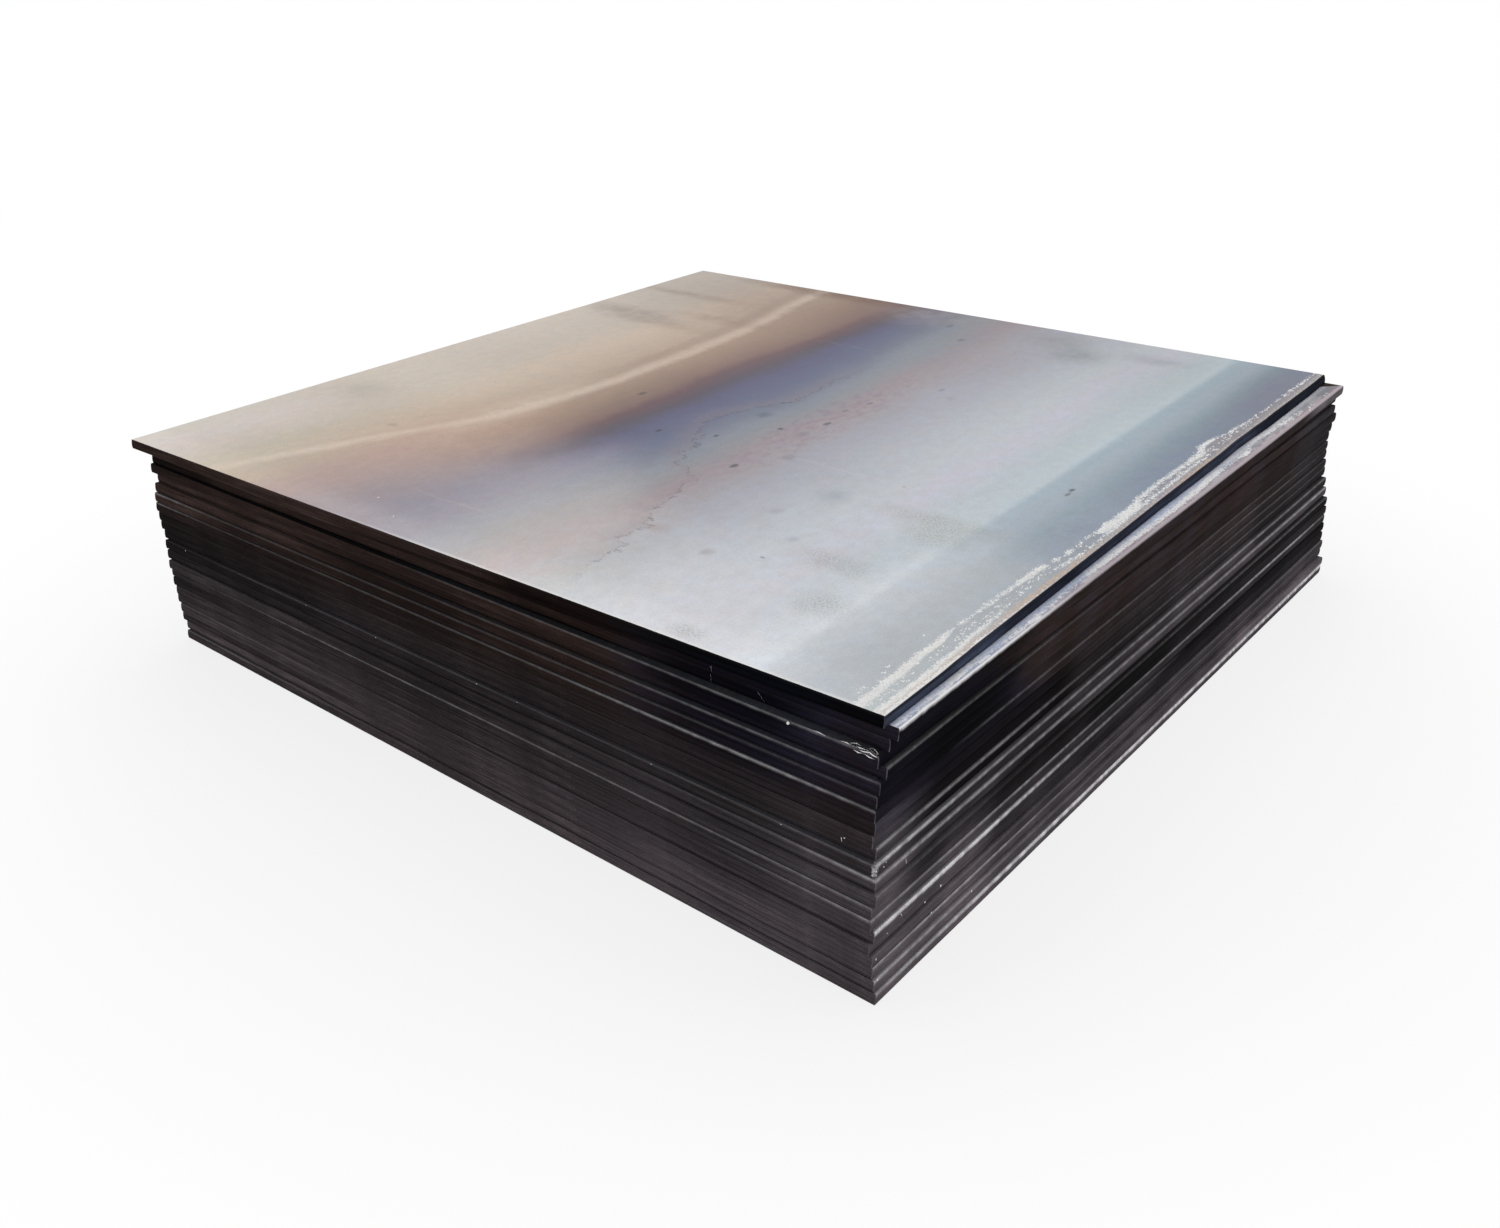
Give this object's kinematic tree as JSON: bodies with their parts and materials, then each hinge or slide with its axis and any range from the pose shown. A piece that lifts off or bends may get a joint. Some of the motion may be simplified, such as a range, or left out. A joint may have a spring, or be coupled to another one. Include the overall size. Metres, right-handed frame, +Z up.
{
  "type": "stack of hot-rolled steel plates",
  "caption": "Square pile of thick hot-rolled steel plates with sheared ends and mill edges, stacked loose and slightly out of line, with a heat-tinted top face.",
  "frame": {"origin": "middle of the pile's footprint, on the underside of the bottom plate", "axes": "+Z up through the pile; Y along the rolling direction, between the sheared ends; X across it, between the mill edges"},
  "size_m": [1.3005, 1.2945, 0.3143],
  "materials": {
    "tinted_mill_scale": "hot-rolled mill scale with brown and blue heat-tint bands along the rolling direction, satin",
    "dark_mill_scale": "dark brown-black sheared and rolled edges with rubbed bright arrises, satin"
  },
  "bodies": {
    "root": {"plate_01": "tinted_mill_scale", "plate_02": "dark_mill_scale", "plate_03": "dark_mill_scale", "plate_04": "dark_mill_scale", "plate_05": "dark_mill_scale", "plate_06": "dark_mill_scale", "plate_07": "dark_mill_scale", "plate_08": "dark_mill_scale", "plate_09": "dark_mill_scale", "plate_10": "dark_mill_scale", "plate_11": "dark_mill_scale", "plate_12": "dark_mill_scale", "plate_13": "dark_mill_scale", "plate_14": "dark_mill_scale", "plate_15": "dark_mill_scale", "plate_16": "dark_mill_scale", "plate_17": "dark_mill_scale", "plate_18": "dark_mill_scale", "plate_19": "dark_mill_scale", "plate_20": "dark_mill_scale", "plate_21": "dark_mill_scale", "plate_22": "dark_mill_scale"}
  },
  "joints": []
}
